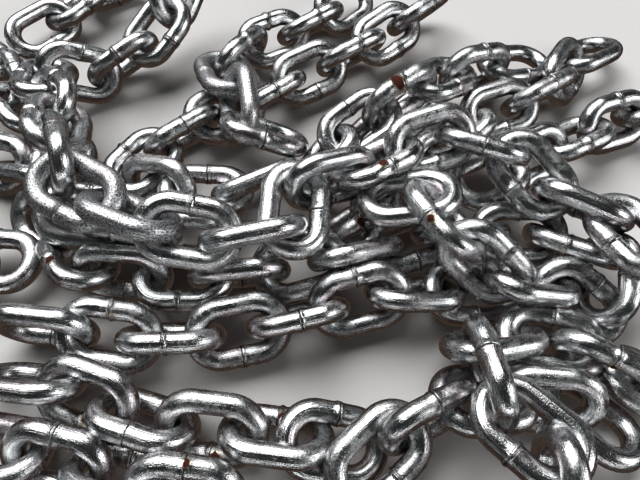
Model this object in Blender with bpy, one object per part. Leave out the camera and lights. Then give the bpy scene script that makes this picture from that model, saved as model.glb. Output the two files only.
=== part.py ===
"""Heap of bright zinc plated iron chain: welded short links of 8 mm wire, lying in several tangled runs.

Each run is a list of joints, read off the photograph and placed by hand on a millimetre grid. A link spans
from one joint to the next. The links are then spaced, so that no two wires share any space, and let down
towards the ground and onto each other. Neighbouring links are one solid in twos and threes.
"""

import math

import bmesh
import bpy
import numpy as np

MM = 0.001

# Link, sized as commercial short link chain of 8 x 24 mm
WIRE = 8.0
PITCH = 24.0
WIDTH = 27.2
CROWN_STEPS = 4

# Gap kept between two wires, and how far the wires of one solid run into each other
GAP = 0.3
BITE = 1.6
CLEAR = WIRE + GAP
JOINED = WIRE - BITE

# How much shorter than the pitch the longest stretch from one joint to the next is
SLACK = 1.0
STRETCH = PITCH - SLACK

# Point that the heap was drawn from: the photograph's viewpoint. Links are held to their lines of sight from it.
EYE = (0.0, -116.0, 200.9)

# Spacing of the links. Wires of links that don't hang in each other start thin and grow to full size. Each share
# is of the rounds: until then the wires grow, the links are held to their places, and they are let down. Rounds
# past these only clear what still touches.
ROUNDS = 2000
MOST_ROUNDS = 4000
THIN = 0.3
GROWN = 0.35
HELD = 0.6
HOLD = 0.1
TURN = 0.01
LOWERED = 0.4
DROP = 0.04
RATE = 1.5
CLOSE_ENOUGH = 0.04

# Pull that brings a solid to its nearest neighbour, and how much wider than the gap it may stay from it
PULL = 0.1
APART = 0.25

# Joints of each run: across, back, height of the joint, and roll in degrees of the link that starts there.
# A roll of 0 lays the link flat, a positive roll raises its left side as seen along the run.
RUNS = {
    "main": [
        (-64, 131, 40, -30), (-70, 110, 32, 20), (-84, 93, 22, 60), (-106, 82, 14, -25), (-128, 89, 18, -40),
        (-133, 64, 24, 35), (-101, 44, 34, -75), (-104, 23, 38, 40), (-99, -1, 44, 25), (-76, -13, 46, -30),
        (-53, -23, 44, -18), (-31, -22, 40, 95), (-11, -21, 38, 55), (-10, 0, 43, -65), (12, 3, 34, -25),
        (33, 23, 34, 35), (55, 32, 36, -50), (78, 19, 34, 20), (87, -2, 32, -60), (109, -8, 34, 20),
        (119, -25, 28, 0),
    ],
    "back": [
        (83, 163, 12, 55), (58, 137, 12, -25), (33, 107, 12, 70), (7, 94, 12, -18), (-17, 78, 12, 75),
        (-46, 62, 12, -15), (-67, 48, 12, 80), (-88, 33, 10, 10), (-86, 22, 8, 60), (-62, 15, 16, 35),
        (-33, 15, 16, -50), (-13, 27, 8, 0),
    ],
    "loop": [
        (27, 154, 12, -45), (10, 131, 14, 45), (-15, 114, 14, -40), (-37, 99, 14, 60), (-54, 89, 20, -15),
        (-37, 64, 28, 30), (-33, 35, 24, -35), (-13, 38, 18, 0),
    ],
    "end": [
        (149, 111, 8, 8), (125, 101, 12, -50), (115, 73, 18, 75), (87, 59, 18, -20), (72, 59, 12, 60),
        (55, 43, 8, -20), (41, 18, 8, 0),
    ],
    "upper": [
        (119, 98, 10, 5), (94, 94, 12, 80), (57, 81, 20, 20), (37, 60, 30, -30), (28, 54, 24, -15),
        (6, 40, 14, 70), (-7, 19, 8, 0),
    ],
    "cross": [
        (56, 80, 6, 0), (37, 59, 6, -30), (15, 39, 6, 40), (-1, 21, 6, 0),
    ],
    "edge": [
        (59, 18, 10, 35), (81, 30, 8, 60), (103, 42, 10, -12), (125, 54, 12, 55), (148, 57, 12, -40),
        (174, 78, 10, 0),
    ],
    "middle": [
        (-119, -43, 16, 80), (-92, -47, 18, 18), (-68, -52, 14, -70), (-42, -50, 12, 25), (-19, -45, 12, -65),
        (6, -35, 12, 30), (29, -29, 12, -60), (54, -24, 6, 20), (76, -27, 6, 0),
    ],
    "front": [
        (-119, -62, 8, -70), (-91, -64, 10, 10), (-72, -75, 12, -55), (-46, -81, 12, 35), (-23, -81, 12, -35),
        (-3, -84, 12, 50), (12, -85, 8, 0),
    ],
    "corner": [
        (8, -98, 12, 20), (27, -81, 14, -75), (51, -69, 12, 10), (70, -70, 8, 70), (86, -69, 10, -20),
        (98, -83, 8, 0),
    ],
    "knot": [
        (122, -70, 14, 25), (106, -63, 12, -70), (92, -54, 14, -30), (73, -50, 20, 50), (48, -56, 26, 80),
        (58, -76, 34, -15), (70, -94, 34, 90), (68, -107, 24, 0),
    ],
    "near": [
        (-119, -85, 10, -40), (-97, -88, 12, 45), (-75, -92, 12, -30), (-53, -97, 12, 45), (-33, -101, 12, 0),
    ],
    "under": [
        (-126, 14, 10, 60), (-104, -7, 12, -30), (-87, -25, 12, 55), (-70, -18, 12, 15), (-45, -27, 12, -70),
        (-23, -23, 12, 25), (1, -18, 14, -65), (27, -4, 10, 35), (50, 4, 8, -60), (75, -3, 8, 20),
        (99, -3, 8, -60), (110, -16, 16, 85), (105, -39, 14, -35), (89, -27, 16, 70), (67, -32, 20, -35),
        (52, -20, 30, 25), (42, 4, 30, -10), (26, 4, 24, 0),
    ],
    "left": [
        (-165, -14, 6, 60), (-140, -15, 8, 10), (-115, -12, 8, 0),
    ],
    "inner": [
        (7, 0, 8, -60), (24, 7, 10, 30), (40, 16, 10, 0),
    ],
    "side": [
        (-189, 120, 8, -20), (-159, 100, 8, 40), (-153, 71, 8, -30), (-130, 54, 10, 50), (-107, 42, 10, -20),
        (-113, 21, 10, 40), (-135, 33, 10, -40), (-156, 39, 8, 0),
    ],
    "deep": [
        (-99, -3, 24, 40), (-81, -8, 24, 5), (-62, -13, 24, -30), (-44, -14, 22, 0),
    ],
    "top": [
        (-159, 112, 8, 60), (-138, 129, 8, 20), (-125, 154, 12, -30), (-101, 165, 12, 0),
    ],
}

# Links in each solid of a run, where they are not simply twos with a three for an odd run
SPLIT = {"end": (1, 2, 3)}


def link_corners():
    """Corners of a link's middle line: two straight bars and two crowns."""
    bend = (WIDTH - WIRE) / 2
    bar = PITCH + 2 * WIRE - WIDTH
    out = []
    for side in (1, -1):
        for k in range(CROWN_STEPS + 1):
            t = math.radians(-90 + 180 * k / CROWN_STEPS)
            out.append((side * (bar / 2 + bend * math.cos(t)), side * bend * math.sin(t)))
    return out


def link_samples(on_bar=6, on_chord=4):
    """Points along a link's middle line, about 2 mm apart."""
    ends = link_corners()
    out = []
    for i, a in enumerate(ends):
        b = ends[(i + 1) % len(ends)]
        count = on_bar if abs(b[0] - a[0]) > WIRE else on_chord
        for j in range(count):
            out.append((a[0] + (b[0] - a[0]) * j / count, a[1] + (b[1] - a[1]) * j / count))
    return np.array(out)


def cross(a, b):
    return np.stack([
        a[..., 1] * b[..., 2] - a[..., 2] * b[..., 1],
        a[..., 2] * b[..., 0] - a[..., 0] * b[..., 2],
        a[..., 0] * b[..., 1] - a[..., 1] * b[..., 0],
    ], -1)


def dot(a, b):
    return a[..., 0] * b[..., 0] + a[..., 1] * b[..., 1] + a[..., 2] * b[..., 2]


def draw_together(joints):
    """Joints more than one stretch apart are drawn together, each staying near its own place."""
    p = [list(map(float, j[:3])) for j in joints]
    for _ in range(200):
        for a, b in zip(p, p[1:]):
            d = [v - u for u, v in zip(a, b)]
            far = math.sqrt(d[0] * d[0] + d[1] * d[1] + d[2] * d[2])
            if far > STRETCH:
                share = 0.5 * (far - STRETCH) / far
                for k in range(3):
                    a[k] += d[k] * share
                    b[k] -= d[k] * share
        for a, j in zip(p, joints):
            for k in range(3):
                a[k] += (j[k] - a[k]) * 0.02
    return p


def place_links():
    """Middle, long axis and width axis of every link, with the run that it belongs to."""
    middle, along, wide, run = [], [], [], []
    for name, joints in RUNS.items():
        p = draw_together(joints)
        for (x0, y0, z0), (x1, y1, z1), joint in zip(p, p[1:], joints):
            dx, dy, dz = x1 - x0, y1 - y0, z1 - z0
            length = math.sqrt(dx * dx + dy * dy + dz * dz)
            dx, dy, dz = dx / length, dy / length, dz / length
            flat = math.sqrt(dx * dx + dy * dy)
            hx, hy = -dy / flat, dx / flat
            ux, uy, uz = -dz * hy, dz * hx, dx * hy - dy * hx
            roll = math.radians(joint[3])
            c, s = math.cos(roll), math.sin(roll)
            middle.append(((x0 + x1) / 2, (y0 + y1) / 2, (z0 + z1) / 2))
            along.append((dx, dy, dz))
            wide.append((c * hx + s * ux, c * hy + s * uy, s * uz))
            run.append(name)
    return np.array(middle), np.array(along), np.array(wide), run


def groups_of(run):
    """Links of each solid, by number."""
    out = []
    first = 0
    for name in RUNS:
        count = run.count(name)
        sizes = list(SPLIT.get(name, ()))
        if not sizes:
            sizes = [2] * (count // 2)
            sizes[-1] += count % 2
        for k, size in enumerate(sizes):
            out.append((f"{name}_run_{k + 1:02d}", list(range(first, first + size))))
            first += size
    return out


def wires(middle, along, wide, line):
    return middle[:, None] + line[None, :, :1] * along[:, None] + line[None, :, 1:] * wide[:, None]


def close_pairs(points, middle, reach, apart):
    """Pairs of points of two different links that lie within reach of each other."""
    i, j = np.triu_indices(len(middle), 1)
    d = middle[i] - middle[j]
    keep = (dot(d, d) < (PITCH + 2 * WIRE + 1) ** 2) & apart[i, j]
    i, j = i[keep], j[keep]
    found = []
    for s in range(0, len(i), 200):
        a, b = i[s:s + 200], j[s:s + 200]
        d = points[a][:, :, None] - points[b][:, None]
        pair, u, v = np.nonzero(dot(d, d) < reach * reach)
        found.append((a[pair], u, b[pair], v))
    return [np.concatenate(part) for part in zip(*found)]


def nearest_solids(points, middle, solid):
    """Closest points of neighbouring solids, along the shortest gaps that join all solids into one heap."""
    i, j = np.triu_indices(len(middle), 1)
    d = middle[i] - middle[j]
    keep = (dot(d, d) < (3 * PITCH) ** 2) & (solid[i] != solid[j])
    i, j = i[keep], j[keep]
    best = {}
    for s in range(0, len(i), 200):
        a, b = i[s:s + 200], j[s:s + 200]
        d = points[a][:, :, None] - points[b][:, None]
        far = dot(d, d).reshape(len(a), -1)
        at = far.argmin(1)
        for row in range(len(a)):
            key = (solid[a[row]], solid[b[row]])
            found = (float(far[row, at[row]]), a[row], at[row] // points.shape[1], b[row], at[row] % points.shape[1])
            if key not in best or found < best[key]:
                best[key] = found
    joined = {solid[0]}
    out = []
    while True:
        ways = [(found, key) for key, found in best.items() if (key[0] in joined) != (key[1] in joined)]
        if not ways:
            return [np.array(part) for part in zip(*[found[1:] for found in out])]
        found, key = min(ways)
        joined.update(key)
        out.append(found)


def deepest(a, u, b, v, depth, count):
    """Of all the close points of two links, the deepest of each stretch of the one with each of the other."""
    key = ((a * count + b) * 16 + (u // 11) * 4 + v // 11)
    order = np.lexsort((-depth, key))
    key = key[order]
    first = np.ones(len(key), bool)
    first[1:] = key[1:] != key[:-1]
    return order[first]


def lay_down(middle, along, wide, tied, hung, solid):
    """Moves and turns the links, as rigid rings, until all wires are clear and the heap has come down."""
    line = link_samples()
    count = len(middle)
    spin = (np.mean(line[:, 1] ** 2), np.mean(line[:, 0] ** 2), np.mean(line[:, 0] ** 2 + line[:, 1] ** 2))
    middle0, along0, wide0 = middle.copy(), along.copy(), wide.copy()
    tie_a = np.array([a for a, _ in tied])
    tie_b = np.array([b for _, b in tied])
    apart = np.ones((count, count), bool)
    apart[tie_a, tie_b] = apart[tie_b, tie_a] = False
    hangs = np.zeros((count, count), bool)
    for a, b in hung:
        hangs[a, b] = hangs[b, a] = True
    sight = middle - np.array(EYE)
    sight = sight / np.sqrt(dot(sight, sight))[:, None]
    for k in range(MOST_ROUNDS):
        share = k / ROUNDS
        points = wires(middle, along, wide, line)
        if k % (8 if share < LOWERED else 16) == 0:
            pairs = close_pairs(points, middle, CLEAR + 3, apart)
        a, u, b, v = pairs
        d = points[a, u] - points[b, v]
        far = np.sqrt(dot(d, d)) + 1e-9
        room = np.where(hangs[a, b], CLEAR, CLEAR * min(1.0, THIN + (1 - THIN) * share / GROWN))
        hit = np.nonzero(far < room)[0]
        hit = hit[deepest(a[hit], u[hit], b[hit], v[hit], (room - far)[hit], count)]
        a, u, b, v = a[hit], u[hit], b[hit], v[hit]
        depth = (room - far)[hit]

        # Links of one solid are drawn to each other until they just run into one another
        d = points[tie_a][:, :, None] - points[tie_b][:, None]
        nearest = dot(d, d).reshape(len(tied), -1).argmin(1)
        tu, tv = nearest // len(line), nearest % len(line)
        d = points[tie_a, tu] - points[tie_b, tv]
        tie_depth = JOINED - np.sqrt(dot(d, d))
        a, u = np.concatenate([a, tie_a]), np.concatenate([u, tu])
        b, v = np.concatenate([b, tie_b]), np.concatenate([v, tv])
        worst = max(float(depth.max()) if len(depth) else 0.0, float(np.abs(tie_depth).max()))
        depth = np.concatenate([depth, tie_depth])
        d = points[a, u] - points[b, v]
        way = d / (np.sqrt(dot(d, d)) + 1e-9)[:, None]

        flat = cross(along, wide)
        parts = []
        for who, at, sign in ((a, u, 1.0), (b, v, -1.0)):
            arm = cross(points[who, at] - middle[who], way)
            turn = [dot(arm, along[who]), dot(arm, wide[who]), dot(arm, flat[who])]
            ease = 1 + turn[0] * turn[0] / spin[0] + turn[1] * turn[1] / spin[1] + turn[2] * turn[2] / spin[2]
            parts.append((who, sign, turn, ease))
        push = depth / (parts[0][3] + parts[1][3])
        weight = np.abs(depth)
        total = np.zeros(count)
        move = np.zeros((count, 3))
        roll = np.zeros((count, 3))
        for who, sign, turn, _ in parts:
            total += np.bincount(who, weight, count)
            for axis in range(3):
                move[:, axis] += np.bincount(who, weight * push * sign * way[:, axis], count)
                roll[:, axis] += np.bincount(who, weight * push * sign * turn[axis] / spin[axis], count)

        # No wire goes below the ground
        low = WIRE / 2 - points[:, :, 2]
        who, at = np.nonzero(low > 0)
        if len(who):
            depth = low[who, at]
            arm = points[who, at] - middle[who]
            arm = np.stack([arm[:, 1], -arm[:, 0], np.zeros(len(arm))], -1)
            turn = [dot(arm, along[who]), dot(arm, wide[who]), dot(arm, flat[who])]
            push = depth / (1 + turn[0] * turn[0] / spin[0] + turn[1] * turn[1] / spin[1] + turn[2] * turn[2] / spin[2])
            worst = max(worst, float(depth.max()))
            total += np.bincount(who, depth, count)
            move[:, 2] += np.bincount(who, depth * push, count)
            for axis in range(3):
                roll[:, axis] += np.bincount(who, depth * push * turn[axis] / spin[axis], count)

        total = np.where(total > 0, total, 1)[:, None]
        move = move / total * RATE
        roll = roll / total * RATE

        # Once down, each solid is drawn to the one that it lies on
        loose = 0.0
        if share > LOWERED:
            if k % 16 == 0 or share - 1 / ROUNDS <= LOWERED:
                lean_a, lean_u, lean_b, lean_v = nearest_solids(points, middle, solid)
            d = points[lean_b, lean_v] - points[lean_a, lean_u]
            far = np.sqrt(dot(d, d))
            loose = float(far.max()) - CLEAR
            d = d * (PULL * np.maximum(far - CLEAR - APART / 2, 0) / far)[:, None]
            for axis in range(3):
                move[:, axis] += np.bincount(lean_a, d[:, axis], count) - np.bincount(lean_b, d[:, axis], count)

        hold = max(0.0, 1 - share / HELD)
        off = middle0 - middle
        move += (off - dot(off, sight)[:, None] * sight) * (HOLD * hold)
        move += sight * (DROP * max(0.0, 1 - share / LOWERED))
        spin_by = roll[:, :1] * along + roll[:, 1:2] * wide + roll[:, 2:] * flat
        spin_by += (cross(along, along0) + cross(wide, wide0)) * (TURN * hold)
        middle = middle + move
        along = along + cross(spin_by, along)
        wide = wide + cross(spin_by, wide)
        along = along / np.sqrt(dot(along, along))[:, None]
        wide = wide - dot(along, wide)[:, None] * along
        wide = wide / np.sqrt(dot(wide, wide))[:, None]
        if share > LOWERED and worst < CLOSE_ENOUGH and loose < APART:
            break
    print("rounds", k, "worst", round(worst, 3), "loose", round(loose, 3))
    return middle, along, wide


def link_mesh(middle, along, wide):
    """One link as a round wire swept along its middle line."""
    curve = bpy.data.curves.new("wire", "CURVE")
    curve.dimensions = "3D"
    curve.bevel_depth = WIRE / 2 * MM
    curve.bevel_resolution = 2
    ends = link_corners()
    spline = curve.splines.new("POLY")
    spline.points.add(len(ends) - 1)
    for point, (x, y) in zip(spline.points, ends):
        place = (middle + x * along + y * wide) * MM
        point.co = (float(place[0]), float(place[1]), float(place[2]), 1.0)
    spline.use_cyclic_u = True
    holder = bpy.data.objects.new("wire", curve)
    bpy.context.scene.collection.objects.link(holder)
    depsgraph = bpy.context.evaluated_depsgraph_get()
    mesh = bpy.data.meshes.new_from_object(holder.evaluated_get(depsgraph))
    bpy.data.objects.remove(holder)
    bpy.data.curves.remove(curve)
    return mesh


def drop_chips(mesh):
    """Keeps the largest connected body of a mesh. The others are specks between crossing facets."""
    shape = bmesh.new()
    shape.from_mesh(mesh)
    bodies = []
    seen = set()
    for vert in shape.verts:
        if vert in seen:
            continue
        seen.add(vert)
        body = [vert]
        for item in body:
            for edge in item.link_edges:
                other = edge.other_vert(item)
                if other not in seen:
                    seen.add(other)
                    body.append(other)
        bodies.append(body)
    bodies.sort(key=len)
    for body in bodies[:-1]:
        bmesh.ops.delete(shape, geom=body, context="VERTS")
    shape.to_mesh(mesh)
    shape.free()


def united(name, meshes):
    """One solid of some links that run into each other."""
    base = bpy.data.objects.new(name, meshes[0])
    bpy.context.scene.collection.objects.link(base)
    for mesh in meshes[1:]:
        other = bpy.data.objects.new("other", mesh)
        bpy.context.scene.collection.objects.link(other)
        union = base.modifiers.new("union", "BOOLEAN")
        union.operation = "UNION"
        union.solver = "EXACT"
        union.object = other
        depsgraph = bpy.context.evaluated_depsgraph_get()
        joined = bpy.data.meshes.new_from_object(base.evaluated_get(depsgraph))
        base.modifiers.clear()
        base.data = joined
        bpy.data.objects.remove(other)
    drop_chips(base.data)
    base.data.name = name
    return base


def main():
    for item in list(bpy.data.objects):
        bpy.data.objects.remove(item)
    middle, along, wide, run = place_links()
    groups = groups_of(run)
    tied = [(a, b) for _, links in groups for a, b in zip(links, links[1:])]
    hung = [(a, a + 1) for a in range(len(run) - 1) if run[a] == run[a + 1]]
    solid = np.array([k for k, (_, links) in enumerate(groups) for _ in links])
    middle, along, wide = lay_down(middle, along, wide, tied, hung, solid)
    nodes = []
    for name, links in groups:
        nodes.append(united(name, [link_mesh(middle[i], along[i], wide[i]) for i in links]))

    # The heap's own frame: middle of its bounds across and back, ground at zero
    points = np.array([vert.co[:] for node in nodes for vert in node.data.vertices])
    low, high = points.min(0), points.max(0)
    shift = (-(low[0] + high[0]) / 2, -(low[1] + high[1]) / 2, -low[2])
    for node in nodes:
        for vert in node.data.vertices:
            vert.co = (vert.co[0] + shift[0], vert.co[1] + shift[1], vert.co[2] + shift[2])
        node.data.update()


main()
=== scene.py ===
import itertools
import math
from collections import namedtuple

import bmesh
import bpy
import numpy as np
from mathutils import Matrix, Vector


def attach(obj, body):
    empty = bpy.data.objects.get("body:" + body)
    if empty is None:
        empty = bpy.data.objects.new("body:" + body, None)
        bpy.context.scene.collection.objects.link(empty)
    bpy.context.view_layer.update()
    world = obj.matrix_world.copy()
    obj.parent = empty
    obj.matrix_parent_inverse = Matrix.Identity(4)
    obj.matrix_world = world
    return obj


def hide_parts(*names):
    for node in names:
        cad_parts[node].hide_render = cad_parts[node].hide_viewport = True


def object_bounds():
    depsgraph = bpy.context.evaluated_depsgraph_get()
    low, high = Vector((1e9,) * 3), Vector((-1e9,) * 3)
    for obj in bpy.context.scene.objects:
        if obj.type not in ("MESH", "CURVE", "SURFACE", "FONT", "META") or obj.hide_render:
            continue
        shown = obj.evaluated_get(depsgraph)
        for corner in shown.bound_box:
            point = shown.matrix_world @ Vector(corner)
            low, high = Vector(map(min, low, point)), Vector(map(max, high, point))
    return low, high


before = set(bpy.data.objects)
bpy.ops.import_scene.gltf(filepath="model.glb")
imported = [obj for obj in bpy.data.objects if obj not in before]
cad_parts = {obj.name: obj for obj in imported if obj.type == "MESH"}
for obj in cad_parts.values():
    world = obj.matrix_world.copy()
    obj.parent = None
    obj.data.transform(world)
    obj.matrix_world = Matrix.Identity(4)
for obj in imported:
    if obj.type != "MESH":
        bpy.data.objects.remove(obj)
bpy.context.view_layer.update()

# Viewpoint
# The photograph looks down on the heap at 60 degrees, from 23 cm away. The heap's frame lies a little to the
# left of and behind the middle of the picture.
PICTURE_WIDE = 640
PICTURE_HIGH = 480
FOCUS_PIXELS = 540
SENSOR_WIDE = 36
NEAREST_SEEN = 0.01
LOOK_DOWN = math.radians(60)
EYE = Vector((0.00626, -0.13967, 0.20091))

camera_data = bpy.data.cameras.new("camera")
camera_data.sensor_width = SENSOR_WIDE
camera_data.lens = FOCUS_PIXELS / PICTURE_WIDE * SENSOR_WIDE
camera_data.clip_start = NEAREST_SEEN
camera = bpy.data.objects.new("camera", camera_data)
bpy.context.scene.collection.objects.link(camera)
camera.location = EYE
camera.rotation_euler = (math.radians(90) - LOOK_DOWN, 0, 0)
bpy.context.scene.camera = camera


def picture_place(spot):
    """Where a point of the heap shows in the photograph, in pixels."""
    off = spot - EYE
    far = off.y * math.cos(LOOK_DOWN) - off.z * math.sin(LOOK_DOWN)
    up = off.y * math.sin(LOOK_DOWN) + off.z * math.cos(LOOK_DOWN)
    return (PICTURE_WIDE / 2 + FOCUS_PIXELS * off.x / far, PICTURE_HIGH / 2 - FOCUS_PIXELS * up / far)


# Main run
# Twenty links from the top left corner, through the left pile and over the middle, to the right edge. Each
# link is 8 mm round steel wire, bent to two crowns, butt welded in the middle of one bar, then zinc plated.
WIRE = 0.008
PITCH = 0.024
WIDTH = 0.0272
BEND = (WIDTH - WIRE) / 2
BAR = PITCH + 2 * WIRE - WIDTH
ROUND_LINK = 2 * BAR + 2 * math.pi * BEND
CROWN_SEGMENTS = 40
WIRE_SEGMENTS = 24
SAME_PLACE = 0.00001

# Rings from the plain bar to the middle of a weld: distance from the middle, and the wire's size there
GROOVE_WELD = (
    (0.0034, 1.0), (0.0024, 1.0), (0.0015, 1.01), (0.0010, 1.05),
    (0.0006, 1.095), (0.00025, 1.08), (0.00012, 0.99), (0, 0.965),
)
BEAD_WELD = (
    (0.0034, 1.0), (0.0024, 1.0), (0.0014, 1.005), (0.0010, 1.02),
    (0.0007, 1.06), (0.00035, 1.12), (0.00012, 1.12), (0, 1.08),
)
TRIMMED_WELD = (
    (0.0034, 1.0), (0.0026, 1.02), (0.0017, 1.045), (0.0010, 1.04),
    (0.0005, 1.06), (0.00025, 1.05), (0.00012, 0.98), (0, 0.96),
)
# The wire's two ends don't meet quite in line: the last 2 mm of one end lie this far over and up
LOOSE_END = 0.002
GROOVE_STEP = (0.00010, 0.00012)
BEAD_STEP = (0.00005, -0.00015)
TRIMMED_STEP = (-0.00012, 0.00015)


def pick(test):
    """Selects the points of the mesh in edit mode that pass the test, and nothing else."""
    shape = bmesh.from_edit_mesh(bpy.context.object.data)
    for vert in shape.verts:
        vert.select = test(vert.co)
    shape.select_flush_mode()
    bmesh.update_edit_mesh(bpy.context.object.data)


def model_link(name, weld, step):
    """One link, flat at the origin, with its bars along X and its weld in the bar at +Y."""
    bpy.ops.object.select_all(action="DESELECT")
    bpy.ops.mesh.primitive_torus_add(
        major_segments=CROWN_SEGMENTS, minor_segments=WIRE_SEGMENTS,
        major_radius=BEND, minor_radius=WIRE / 2)
    link = bpy.context.object
    link.name = name
    bpy.ops.object.mode_set(mode="EDIT")
    bpy.context.tool_settings.mesh_select_mode = (True, False, False)
    bpy.ops.mesh.select_all(action="SELECT")
    bpy.ops.mesh.bisect(plane_co=(0, 0, 0), plane_no=(1, 0, 0), clear_inner=True)
    bpy.ops.mesh.select_all(action="SELECT")
    bpy.ops.transform.translate(value=(BAR / 2, 0, 0))
    # Both bars are drawn out from the crown to the middle, ring by ring
    at = BAR / 2
    pick(lambda co: co.x < at + SAME_PLACE)
    for x, size in weld:
        bpy.ops.mesh.extrude_region_move(TRANSFORM_OT_translate={"value": (x - at, 0, 0)})
        at = x
    bpy.ops.mesh.select_all(action="DESELECT")
    for x, size in weld:
        pick(lambda co: abs(co.x - x) < SAME_PLACE and co.y > 0)
        bpy.ops.transform.resize(value=(1, size, size), center_override=(x, BEND, 0))
    bpy.ops.object.mode_set(mode="OBJECT")
    mirror = link.modifiers.new("other crown", "MIRROR")
    mirror.use_clip = True
    mirror.merge_threshold = SAME_PLACE
    bpy.ops.object.modifier_apply(modifier=mirror.name)
    bpy.ops.object.mode_set(mode="EDIT")
    pick(lambda co: -LOOSE_END < co.x < -SAME_PLACE and co.y > 0)
    bpy.ops.transform.translate(value=(0, *step))
    bpy.ops.object.mode_set(mode="OBJECT")
    bpy.ops.object.shade_smooth()
    link.select_set(False)
    return link


def along_wire(spots):
    """How far along the wire a link's points lie from the middle of its weld, and at what angle round it."""
    x, y, z = spots.T
    on_bar = abs(x) <= BAR / 2
    turn = np.arctan2(abs(x) - BAR / 2, y)
    length = np.where(on_bar & (y > 0), x, 0.0)
    length = np.where(on_bar & (y <= 0), BAR + math.pi * BEND - x, length)
    length = np.where(~on_bar, np.sign(x) * (BAR / 2 + BEND * turn), length)
    out = np.where(on_bar, abs(y), np.hypot(abs(x) - BAR / 2, y)) - BEND
    return length % ROUND_LINK, np.arctan2(z, out)


def read(items, field, wide, kind=float):
    """One field of a mesh's points, corners or triangles, as rows of numbers."""
    flat = np.empty(len(items) * wide, kind)
    items.foreach_get(field, flat)
    return flat.reshape(-1, wide)


def corner_points(mesh):
    """Which point each corner of the mesh's faces lies on."""
    return read(mesh.loops, "vertex_index", 1, int)[:, 0]


def put_wire_map(mesh):
    """A map along and round the wire, in metres, so that draw marks and pits follow the wire."""
    layer = mesh.uv_layers[0]
    layer.name = "wire"
    middles = np.array([face.center for face in mesh.polygons])
    face_length, face_turn = along_wire(middles)
    corner_face = np.repeat(np.arange(len(mesh.polygons)), [len(face.vertices) for face in mesh.polygons])
    length, turn = along_wire(read(mesh.vertices, "co", 3)[corner_points(mesh)])
    # A face that crosses the map's end keeps its corners together
    length -= ROUND_LINK * np.round((length - face_length[corner_face]) / ROUND_LINK)
    turn -= 2 * math.pi * np.round((turn - face_turn[corner_face]) / (2 * math.pi))
    layer.data.foreach_set("uv", np.stack([length, turn * WIRE / 2], 1).ravel())


link_kinds = [
    model_link("groove_weld_link", GROOVE_WELD, GROOVE_STEP),
    model_link("bead_weld_link", BEAD_WELD, BEAD_STEP),
    model_link("trimmed_weld_link", TRIMMED_WELD, TRIMMED_STEP),
]
for link in link_kinds:
    put_wire_map(link.data)

# How a solid's links are found. The wire's corners make a bar's edges up to EDGE_SPREAD longer or shorter
# than the bar. Edges of one link are parallel, level with each other within LEVEL and less than LINK_REACH
# apart, and those of one bar are less than ACROSS_WIRE apart. No bar lies the OFF_WAY
EDGE_SPREAD = 0.0016
PARALLEL = 0.99999
LEVEL = 0.00003
LINK_REACH = 0.03
ACROSS_WIRE = 0.009
FEWEST_EDGES = 6
OFF_WAY = (0.3, 0.5, 0.81)
MM_IN_METRE = 1000


def bar_edges(mesh):
    """Middle and direction of each edge that is about as long as a bar, once for each triangle beside it."""
    spots = read(mesh.vertices, "co", 3)
    mesh.calc_loop_triangles()
    tris = read(mesh.loop_triangles, "vertices", 3, int)
    a = spots[tris].reshape(-1, 3)
    b = spots[tris[:, [1, 2, 0]]].reshape(-1, 3)
    far = np.sqrt(((b - a) ** 2).sum(1))
    keep = abs(far - BAR) < EDGE_SPREAD
    return ((a + b) / 2)[keep], (b - a)[keep] / far[keep][:, None]


def circle_middle(flat):
    """Middle of the circle through flat points, in millimetres."""
    terms = np.hstack([2 * flat, np.ones((len(flat), 1))])
    return np.linalg.lstsq(terms, (flat ** 2).sum(1), rcond=None)[0][:2]


def solid_links(node):
    """Middle, bar direction and width direction of each link in a solid, from its bars' long edges."""
    mid, way = bar_edges(node.data)
    left = np.ones(len(mid), bool)
    out = []
    for i in range(len(mid)):
        gap = mid - mid[i]
        like = left & (abs(way @ way[i]) > PARALLEL) & (abs(gap @ way[i]) < LEVEL)
        like &= (gap ** 2).sum(1) < LINK_REACH ** 2
        if not left[i] or like.sum() < FEWEST_EDGES:
            continue
        left &= ~like
        along = (way[like] * np.sign(way[like] @ way[i])[:, None]).mean(0)
        along /= np.linalg.norm(along)
        side = np.cross(along, OFF_WAY)
        side /= np.linalg.norm(side)
        rise = np.cross(along, side)
        flat = np.stack([gap[like] @ side, gap[like] @ rise], 1)
        first = (flat ** 2).sum(1) < ACROSS_WIRE ** 2
        # The edges of a bar lie on a circle round its middle
        bars = []
        for bar in (first, ~first):
            x, y = circle_middle(flat[bar] * MM_IN_METRE)
            bars.append(mid[i] + (x * side + y * rise) / MM_IN_METRE)
        wide = bars[0] - bars[1]
        wide -= (wide @ along) * along
        wide /= np.linalg.norm(wide)
        out.append((Vector((bars[0] + bars[1]) / 2), Vector(along), Vector(wide)))
    return out


# A weld in the photograph belongs to the bar whose middle shows nearest to it, within SAME_BAR pixels. Each
# millimetre that a bar lies higher counts as HIGHER_BAR pixels nearer
SAME_BAR = 26
HIGHER_BAR = 0.35


def shown_welds(found, welds):
    """For a link's number in its run, the side of the link that a weld shows on, and the weld."""
    weld_of = {}
    for weld in welds:
        bars = []
        for index, (name, middle, along, wide) in enumerate(found):
            for side in (1, -1):
                bar = middle + side * BEND * wide
                away = math.dist(picture_place(bar), weld)
                if away < SAME_BAR:
                    bars.append((away - HIGHER_BAR * bar.z * MM_IN_METRE, index, side))
        if bars:
            weld_of[min(bars)[1]] = (min(bars)[2], weld)
    return weld_of


# The kinds of weld alternate unevenly, and each link has its own stretch of the map
KIND_STEP = 7
KIND_SLIP = 5
MAP_STEP = (0.13, 0.047)


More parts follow.
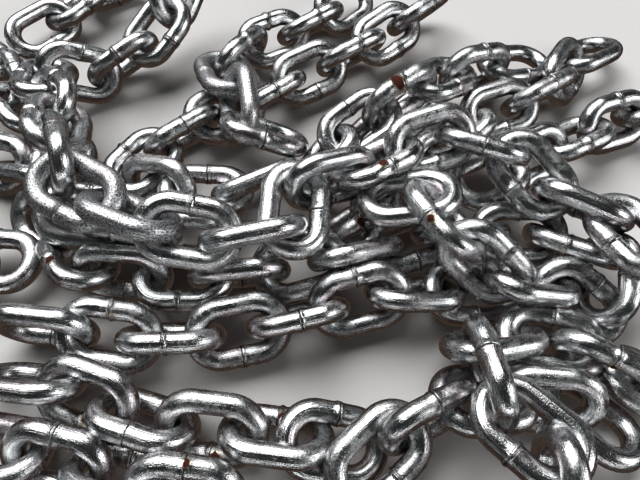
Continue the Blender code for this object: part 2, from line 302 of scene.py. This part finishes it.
def copy_link(number, middle, along, wide):
    """A copy of one kind of link in its place, and how far along the wire its points lie from its weld."""
    kind = link_kinds[(number * KIND_STEP + number // KIND_SLIP) % len(link_kinds)]
    link = kind.copy()
    link.data = kind.data.copy()
    bpy.context.scene.collection.objects.link(link)
    link.data.transform(Matrix((along, wide, along.cross(wide))).transposed().to_4x4())
    link.data.transform(Matrix.Translation(middle))
    layer = link.data.uv_layers["wire"]
    flat = read(layer.data, "uv", 2)
    length = (flat[:, 0] + ROUND_LINK / 2) % ROUND_LINK - ROUND_LINK / 2
    from_weld = np.zeros(len(link.data.vertices))
    from_weld[corner_points(link.data)] = abs(length)
    layer.data.foreach_set("uv", (flat + (MAP_STEP[0] * number, MAP_STEP[1] * number)).ravel())
    return link, from_weld


# A lump's place in the photograph, its length along and round the wire, its rise, and its rust from 0 to 1.
# It belongs to the weld within SAME_WELD pixels of it, and ends FLASH_REACH from the middle of the weld's bar
Lump = namedtuple("Lump", "x y long round_wire rise rust")
SAME_WELD = 14
FLASH_REACH = 0.0055
NOT_SEEN = (-999, -999)


def raise_lumps(mesh, middle, along, wide, weld, lumps):
    """Raises the flash on a link's weld. Returns the rust of the link's points."""
    spots = read(mesh.vertices, "co", 3)
    rust = np.zeros(len(spots))
    at_bar = np.array(middle + BEND * wide)
    along = np.array(along)
    out = spots - at_bar
    out -= (out @ along)[:, None] * along
    out /= np.linalg.norm(out, axis=1)[:, None]
    near_weld = np.linalg.norm(spots - at_bar, axis=1) < FLASH_REACH
    seen = near_weld & (((np.array(EYE) - spots) * out).sum(1) > 0)
    shows = np.array([picture_place(Vector(spot)) if near else NOT_SEEN for spot, near in zip(spots, seen)])
    # Flash stands beside the weld as the photograph shows it, also where the bar lies a little off
    bar_shows = picture_place(middle + BEND * wide)
    for lump in lumps:
        if math.dist((lump.x, lump.y), weld) >= SAME_WELD:
            continue
        x = lump.x + bar_shows[0] - weld[0]
        y = lump.y + bar_shows[1] - weld[1]
        gap = spots - spots[np.hypot(shows[:, 0] - x, shows[:, 1] - y).argmin()]
        on_way = gap @ along
        off_way = (gap ** 2).sum(1) - on_way ** 2
        share = np.exp(-(on_way / lump.long) ** 2 - off_way / lump.round_wire ** 2) * near_weld
        spots = spots + (lump.rise * share)[:, None] * out
        rust = np.maximum(rust, lump.rust * share)
    mesh.vertices.foreach_set("co", spots.ravel())
    return rust


def join_links(links_of):
    """One piece of chain of each solid's links, in the solid's place."""
    for name, links in links_of.items():
        bpy.ops.object.select_all(action="DESELECT")
        for link in links:
            link.select_set(True)
        bpy.context.view_layer.objects.active = links[0]
        if len(links) > 1:
            bpy.ops.object.join()
        piece = bpy.context.object
        piece.name = name + "_chain"
        piece.data.materials.clear()
        piece.data.materials.append(zinc)
        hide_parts(name)
        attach(piece, "root")


# Every third link without a weld that shows has its weld in the other bar. Each link has its own tone, and is
# pitted within SAME_LINK pixels of a pitted place. A weld's grey and its dark seam fade out along the wire
link_number = itertools.count()
OTHER_BAR_EVERY = 3
TONE_STEP = 0.618
SAME_LINK = 22
WELD_FADE = 0.0020
SEAM_FADE = 0.00022


def dress_run(run, welds=(), lumps=(), pitted=()):
    """Round links in place of a run's solids. Welds, lumps of flash and pitted links are given by where they
    show in the photograph."""
    found = []
    for name in sorted(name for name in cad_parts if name.startswith(run + "_run_")):
        found += [(name, *link) for link in solid_links(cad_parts[name])]
    weld_of = shown_welds(found, welds)
    links_of = {}
    for index, (name, middle, along, wide) in enumerate(found):
        number = next(link_number)
        side, weld = weld_of.get(index, (1 if number % OTHER_BAR_EVERY else -1, None))
        wide = wide * side
        if number % 2:
            along = -along
        link, from_weld = copy_link(number, middle, along, wide)
        rust = np.zeros(len(from_weld))
        if weld:
            rust = raise_lumps(link.data, middle, along, wide, weld, lumps)
        pitting = any(math.dist(picture_place(middle), spot) < SAME_LINK for spot in pitted)
        for title, values in (
            ("tone", np.full(len(from_weld), (number * TONE_STEP) % 1)),
            ("weld", np.exp(-(from_weld / WELD_FADE) ** 2)),
            ("seam", np.exp(-(from_weld / SEAM_FADE) ** 2)),
            ("rust", rust),
            ("pitted", np.full(len(from_weld), float(pitting))),
        ):
            link.data.attributes.new(title, "FLOAT", "POINT").data.foreach_set("value", values)
        links_of.setdefault(name, []).append(link)
    join_links(links_of)


# Bright zinc on drawn wire: fine lines along the wire, duller patches, pits, and rust only at some welds
zinc = bpy.data.materials.new("bright_zinc")
zinc.use_nodes = True
tree = zinc.node_tree
shader = tree.nodes["Principled BSDF"]
# The Mix node's factor, first colour and second colour, and its colour output
MIX_INPUTS = (0, 6, 7)
MIX_OUTPUT = 2


def add(kind, inputs=(), **settings):
    """Adds a shader node to the tree in hand. An input is a plain value or another node's output."""
    item = tree.nodes.new(kind)
    for key, value in settings.items():
        setattr(item, key, value)
    for key, value in dict(inputs).items():
        if isinstance(value, bpy.types.NodeSocket):
            tree.links.new(value, item.inputs[key])
        else:
            item.inputs[key].default_value = value
    return item


def ramp(factor, *stops):
    """A colour ramp with the given stops of place and colour."""
    item = add("ShaderNodeValToRGB", {"Fac": factor})
    while len(item.color_ramp.elements) < len(stops):
        item.color_ramp.elements.new(0.5)
    for element, (place, colour) in zip(item.color_ramp.elements, stops):
        element.position = place
        element.color = (*colour, 1) if isinstance(colour, tuple) else (colour, colour, colour, 1)
    return item.outputs["Color"]


def fade(factor, span, first, last):
    """From the first value to the last over a span of the factor."""
    return ramp(factor, (span[0], first), (span[1], last))


def noise(scale, detail, rough=0.55):
    """Noise on the wire's map. Scale is in turns a metre, along and round the wire."""
    spot = add("ShaderNodeMapping", {"Vector": wire_map, "Scale": (*scale, 1)})
    inputs = {"Vector": spot.outputs[0], "Scale": 1.0, "Detail": detail, "Roughness": rough}
    return add("ShaderNodeTexNoise", inputs).outputs["Fac"]


def blend(factor, a, b):
    """Mix of two colours."""
    item = add("ShaderNodeMix", data_type="RGBA")
    for key, value in zip(MIX_INPUTS, (factor, a, b)):
        if isinstance(value, bpy.types.NodeSocket):
            tree.links.new(value, item.inputs[key])
        else:
            item.inputs[key].default_value = (*value, 1) if isinstance(value, tuple) else value
    return item.outputs[MIX_OUTPUT]


def calc(operation, a, b, clamp=False):
    """Arithmetic of two values."""
    return add("ShaderNodeMath", {0: a, 1: b}, operation=operation, use_clamp=clamp).outputs[0]


def times(a, b):
    """One value times another."""
    return calc("MULTIPLY", a, b)


wire_map = add("ShaderNodeUVMap", uv_map="wire").outputs[0]
tone, rust_here, weld_here, seam_here, pitted_here = [
    add("ShaderNodeAttribute", attribute_name=title).outputs["Fac"]
    for title in ("tone", "rust", "weld", "seam", "pitted")
]
draw_lines = noise(scale=(16, 1700), detail=4)
broad_lines = noise(scale=(12, 430), detail=3)
patches = noise(scale=(160, 160), detail=4, rough=0.6)
violet_patches = noise(scale=(60, 90), detail=2)
pits = noise(scale=(1500, 1700), detail=2, rough=0.5)
grain = noise(scale=(2300, 2600), detail=2, rough=0.5)
uneven = noise(scale=(700, 1300), detail=4, rough=0.65)
stain_patches = noise(scale=(600, 600), detail=3)
rust_edge = noise(scale=(900, 900), detail=4, rough=0.65)
rust_shades = noise(scale=(1100, 1100), detail=3)

# Zinc is dull in patches, more of them on links of a high tone, and all over on a pitted link
DULL_SPAN = (0.42, 0.66)
DULL_LEAST = 0.25
dull = calc("MULTIPLY", fade(patches, DULL_SPAN, 0.0, 1.0), calc("ADD", tone, DULL_LEAST), True)
dull = calc("MAXIMUM", dull, pitted_here)

# Grey of the zinc, with darker draw lines, a violet cast in patches and dark grain
LOW_ZINC = (0.30, (0.60, 0.615, 0.62))
PLAIN_ZINC = (0.48, (0.82, 0.835, 0.835))
HIGH_ZINC = (0.72, (0.93, 0.94, 0.935))
LINE_GREY, LINE_SPAN, LINE_SHARE = (0.34, 0.34, 0.36), (0.36, 0.48), 0.5
VIOLET, VIOLET_SPAN, VIOLET_SHARE = (0.70, 0.58, 0.62), (0.50, 0.68), 0.45
GRAIN_GREY, GRAIN_SPAN, GRAIN_SHARE = (0.22, 0.22, 0.23), (0.38, 0.52), 0.65
grey = ramp(broad_lines, LOW_ZINC, PLAIN_ZINC, HIGH_ZINC)
grey = blend(times(fade(draw_lines, LINE_SPAN, 1.0, 0.0), LINE_SHARE), grey, LINE_GREY)
tinted = blend(times(fade(violet_patches, VIOLET_SPAN, 0.0, 1.0), VIOLET_SHARE), grey, VIOLET)
tinted = blend(fade(grain, GRAIN_SPAN, GRAIN_SHARE, 0.0), tinted, GRAIN_GREY)

# Pits are dark specks, most of them where the zinc is dull and on a pitted link
SPECK_GREY, SPECK_SPAN, SPECK_SHARE = (0.13, 0.13, 0.14), (0.38, 0.46), 0.75
SPECK_LEAST = 0.25
PIT_GREY, PIT_SPAN, PIT_SHARE = (0.12, 0.12, 0.13), (0.42, 0.52), 0.7
specks = times(fade(pits, SPECK_SPAN, 1.0, 0.0), calc("ADD", times(dull, 1 - SPECK_LEAST), SPECK_LEAST))
tinted = blend(times(specks, SPECK_SHARE), tinted, SPECK_GREY)
tinted = blend(times(pitted_here, fade(pits, PIT_SPAN, PIT_SHARE, 0.0)), tinted, PIT_GREY)

# A weld is a little darker, with a dark seam, and is rusty or stained brown only where its lumps have rust
WELD_GREY, WELD_SHARE = (0.36, 0.35, 0.34), 0.25
SEAM_GREY, SEAM_SHARE = (0.06, 0.055, 0.05), 0.70
STAIN, STAIN_SPAN = (0.42, 0.34, 0.20), (0.05, 0.30)
STAIN_PATCH_SPAN, STAIN_LEAST, STAIN_MOST = (0.35, 0.6), 0.2, 0.8
RUST_SPAN, RUST_EDGE_SHARE = (0.60, 0.70), 0.5
DARK_RUST = (0.38, (0.055, 0.014, 0.014))
LIGHT_RUST = (0.64, (0.15, 0.040, 0.026))
tinted = blend(times(weld_here, WELD_SHARE), tinted, WELD_GREY)
tinted = blend(times(seam_here, SEAM_SHARE), tinted, SEAM_GREY)
stain_here = fade(stain_patches, STAIN_PATCH_SPAN, STAIN_LEAST, STAIN_MOST)
tinted = blend(times(fade(rust_here, STAIN_SPAN, 0.0, 1.0), stain_here), tinted, STAIN)
rust_patch = fade(calc("ADD", rust_here, times(rust_edge, RUST_EDGE_SHARE)), RUST_SPAN, 0.0, 1.0)
rust_colour = ramp(rust_shades, DARK_RUST, LIGHT_RUST)
tree.links.new(blend(rust_patch, tinted, rust_colour), shader.inputs["Base Color"])

# Rust is hardly metallic and is rough. The zinc is smooth, rougher in its draw lines and where it is dull
RUST_METAL_LOSS = 0.95
SMOOTH_ZINC = 0.12
DULL_ROUGH = 0.16
LINE_ROUGH = 0.18
RUST_ROUGH = 0.45
tree.links.new(calc("SUBTRACT", 1.0, times(rust_patch, RUST_METAL_LOSS)), shader.inputs["Metallic"])
rough = calc("ADD", times(dull, DULL_ROUGH), times(draw_lines, LINE_ROUGH))
rough = calc("ADD", rough, times(rust_patch, RUST_ROUGH))
tree.links.new(calc("ADD", rough, SMOOTH_ZINC, True), shader.inputs["Roughness"])

# Relief, in shares of its depth: lines, pits and grain, deeper where the zinc is dull, welded or rusted
RELIEF_DEPTH = 0.00012
RELIEF_STRENGTH = 0.65
LINE_HEIGHT = 1.7
BROAD_HEIGHT = 0.6
UNEVEN_HEIGHT = 0.2
PIT_HEIGHT, PIT_HEIGHT_DULL = 0.15, 0.5
GRAIN_HEIGHT, GRAIN_HEIGHT_DULL = 0.3, 0.65
SPECK_DEPTH = 0.6
WELD_HEIGHT = 1.2
RUST_HEIGHT = 2.5
height = calc("ADD", times(draw_lines, LINE_HEIGHT), times(broad_lines, BROAD_HEIGHT))
height = calc("ADD", height, times(uneven, UNEVEN_HEIGHT))
height = calc("ADD", height, times(pits, calc("ADD", times(dull, PIT_HEIGHT_DULL), PIT_HEIGHT)))
height = calc("ADD", height, times(grain, calc("ADD", times(dull, GRAIN_HEIGHT_DULL), GRAIN_HEIGHT)))
height = calc("SUBTRACT", height, times(specks, SPECK_DEPTH))
height = calc("ADD", height, times(times(weld_here, pits), WELD_HEIGHT))
height = calc("ADD", height, times(times(rust_patch, pits), RUST_HEIGHT))
bump = add("ShaderNodeBump", {"Height": height, "Strength": RELIEF_STRENGTH, "Distance": RELIEF_DEPTH})
tree.links.new(bump.outputs[0], shader.inputs["Normal"])

MAIN_WELDS = [(170, 38), (118, 57), (40, 200), (195, 205), (512, 190), (390, 175)]
MAIN_LUMPS = [
    Lump(x=383, y=171, long=0.0014, round_wire=0.0018, rise=0.0010, rust=1.0),
    Lump(x=397, y=185, long=0.0009, round_wire=0.0010, rise=0.0006, rust=0.0),
]
MAIN_PITTED = [(70, 200), (125, 205)]
dress_run("main", MAIN_WELDS, MAIN_LUMPS, MAIN_PITTED)

# Runs across the top
# Two runs of the same welded and plated links come in side by side at the top of the photograph, each link
# hung in the next. The upper one turns back in a loop left of the middle, and a short third one lies in the
# left corner.
BACK_WELDS = [(192, 172)]
LOOP_WELDS = [(330, 27), (268, 25)]
LOOP_PITTED = [(225, 95)]
dress_run("back", BACK_WELDS)
dress_run("loop", LOOP_WELDS, pitted=LOOP_PITTED)
dress_run("top")

# Far right runs
# One run ends in a free link at the top right. Beside it lies a second, and two short ones lie under and
# before them. Their links are the same plated steel, and one weld has a broad patch of rust.
END_WELDS = [(505, 143)]
UPPER_WELDS = [(487, 50), (382, 95)]
UPPER_LUMPS = [Lump(x=380, y=94, long=0.0019, round_wire=0.0045, rise=0.0005, rust=1.0)]
CROSS_WELDS = [(430, 108)]
dress_run("end", END_WELDS)
dress_run("upper", UPPER_WELDS, UPPER_LUMPS)
dress_run("cross", CROSS_WELDS)
dress_run("edge")

# Front runs
# Four runs of the same plated steel links lie across the front of the photograph, one behind the other. Some
# of their welds have flash left on them, which is rusty or stained.
MIDDLE_WELDS = [(182, 345), (242, 350), (313, 325), (355, 275), (103, 315)]
MIDDLE_LUMPS = [
    Lump(x=101, y=319, long=0.0016, round_wire=0.0016, rise=0.0003, rust=0.28),
    Lump(x=351, y=281, long=0.0010, round_wire=0.0011, rise=0.0008, rust=0.0),
    Lump(x=359, y=278, long=0.0010, round_wire=0.0011, rise=0.0008, rust=0.0),
]
FRONT_WELDS = [(75, 418), (130, 440), (215, 445), (288, 410)]
FRONT_LUMPS = [
    Lump(x=81, y=413, long=0.0012, round_wire=0.0016, rise=0.0006, rust=1.0),
    Lump(x=76, y=420, long=0.0016, round_wire=0.0022, rise=0.0003, rust=0.30),
    Lump(x=219, y=446, long=0.0013, round_wire=0.0014, rise=0.0007, rust=1.0),
    Lump(x=288, y=408, long=0.0010, round_wire=0.0012, rise=0.0005, rust=0.9),
]
NEAR_WELDS = [(197, 475)]
NEAR_LUMPS = [Lump(x=197, y=472, long=0.0010, round_wire=0.0015, rise=0.0004, rust=0.9)]
CORNER_WELDS = [(447, 400)]
dress_run("middle", MIDDLE_WELDS, MIDDLE_LUMPS)
dress_run("front", FRONT_WELDS, FRONT_LUMPS)
dress_run("near", NEAR_WELDS, NEAR_LUMPS)
dress_run("corner", CORNER_WELDS)

# Knot at the front right
# Seven plated steel links from the right edge, round in a raised bend, to the front edge. They are held up
# by each other and by the runs beside them.
KNOT_WELDS = [(568, 325), (480, 328), (512, 445), (620, 375)]
KNOT_LUMPS = [
    Lump(x=625, y=374, long=0.0011, round_wire=0.0013, rise=0.0007, rust=0.0),
    Lump(x=619, y=387, long=0.0014, round_wire=0.0014, rise=0.0003, rust=0.9),
]
dress_run("knot", KNOT_WELDS, KNOT_LUMPS)

# Lowest layer and left pile
# Runs of the same plated steel links that lie under the others and show between them, and those inside the
# left pile, which carry it.
UNDER_WELDS = [(147, 287), (50, 265), (535, 268), (545, 240), (430, 225)]
UNDER_LUMPS = [
    Lump(x=49, y=266, long=0.0014, round_wire=0.0018, rise=0.0005, rust=1.0),
    Lump(x=431, y=226, long=0.0013, round_wire=0.0014, rise=0.0007, rust=1.0),
]
INNER_WELDS = [(370, 215)]
INNER_LUMPS = [Lump(x=370, y=215, long=0.0014, round_wire=0.0018, rise=0.0004, rust=1.0)]
dress_run("under", UNDER_WELDS, UNDER_LUMPS)
dress_run("left")
dress_run("inner", INNER_WELDS, INNER_LUMPS)
dress_run("side")
dress_run("deep")

for link in link_kinds:
    bpy.data.objects.remove(link)

looks_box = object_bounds()

# Studio
# A plain pale floor under the lowest link, one wide soft light from behind on the left, a weak one from the
# right and a low strip in front.
FLOOR_GREY = (0.74, 0.73, 0.72)
FLOOR_ROUGH = 0.9
FLOOR_SIZE = 7

bpy.ops.object.select_all(action="DESELECT")
bpy.ops.mesh.primitive_plane_add(size=FLOOR_SIZE, location=(0, 0, looks_box[0][2]))
floor = bpy.context.object
floor.name = "floor"
paper = bpy.data.materials.new("pale_paper")
paper.use_nodes = True
paper.node_tree.nodes["Principled BSDF"].inputs["Base Color"].default_value = (*FLOOR_GREY, 1)
paper.node_tree.nodes["Principled BSDF"].inputs["Roughness"].default_value = FLOOR_ROUGH
floor.data.materials.append(paper)
# The zinc doesn't mirror the floor. It mirrors the world's dim colours below the horizon instead
floor.visible_glossy = False


def soft_light(name, power, size, place, aim=(0, 0, 0)):
    """A rectangular soft light aimed at a point."""
    data = bpy.data.lights.new(name, "AREA")
    data.shape = "RECTANGLE"
    data.size, data.size_y = size
    data.energy = power
    lamp = bpy.data.objects.new(name, data)
    bpy.context.scene.collection.objects.link(lamp)
    lamp.location = place
    lamp.rotation_euler = (Vector(aim) - Vector(place)).to_track_quat("-Z", "Y").to_euler()


soft_light("key", power=146, size=(4.6, 3.1), place=(-1.0, 2.0, 3.4))
soft_light("fill", power=35, size=(2.0, 2.0), place=(3.4, -1.0, 1.8))
soft_light("front strip", power=19, size=(5.6, 0.48), place=(0.2, -3.8, 0.64))

# What the zinc mirrors, by how far up the way points, from 0 straight down to 1 straight up: dim brown-grey
# below, dark round the horizon but for one thin bright band just over it, and a dim sky. The camera sees a
# pale room past the floor's edge instead
STRAIGHT_DOWN = (0.10, (0.095, 0.072, 0.058))
FAR_BELOW = (0.36, (0.064, 0.047, 0.041))
DARK_FROM = (0.46, (0.008, 0.008, 0.009))
DARK_TO = (0.515, (0.008, 0.008, 0.009))
BAND_FROM = (0.53, (0.62, 0.63, 0.65))
BAND_TO = (0.56, (0.62, 0.63, 0.65))
LOW_SKY = (0.58, (0.014, 0.015, 0.015))
HIGH_SKY = (0.80, (0.042, 0.045, 0.045))
PALE_ROOM = (0.62, 0.60, 0.58)

world = bpy.data.worlds.new("studio")
world.use_nodes = True
tree = world.node_tree
way_up = add("ShaderNodeSeparateXYZ", {0: add("ShaderNodeTexCoord").outputs["Generated"]}).outputs["Z"]
mirrored = ramp(
    calc("ADD", times(way_up, 0.5), 0.5),
    STRAIGHT_DOWN, FAR_BELOW, DARK_FROM, DARK_TO, BAND_FROM, BAND_TO, LOW_SKY, HIGH_SKY)
for_camera = add("ShaderNodeLightPath").outputs["Is Camera Ray"]
tree.links.new(blend(for_camera, mirrored, PALE_ROOM), tree.nodes["Background"].inputs["Color"])
bpy.context.scene.world = world
bpy.context.scene.view_settings.view_transform = "Standard"
bpy.context.scene.view_settings.look = "High Contrast"
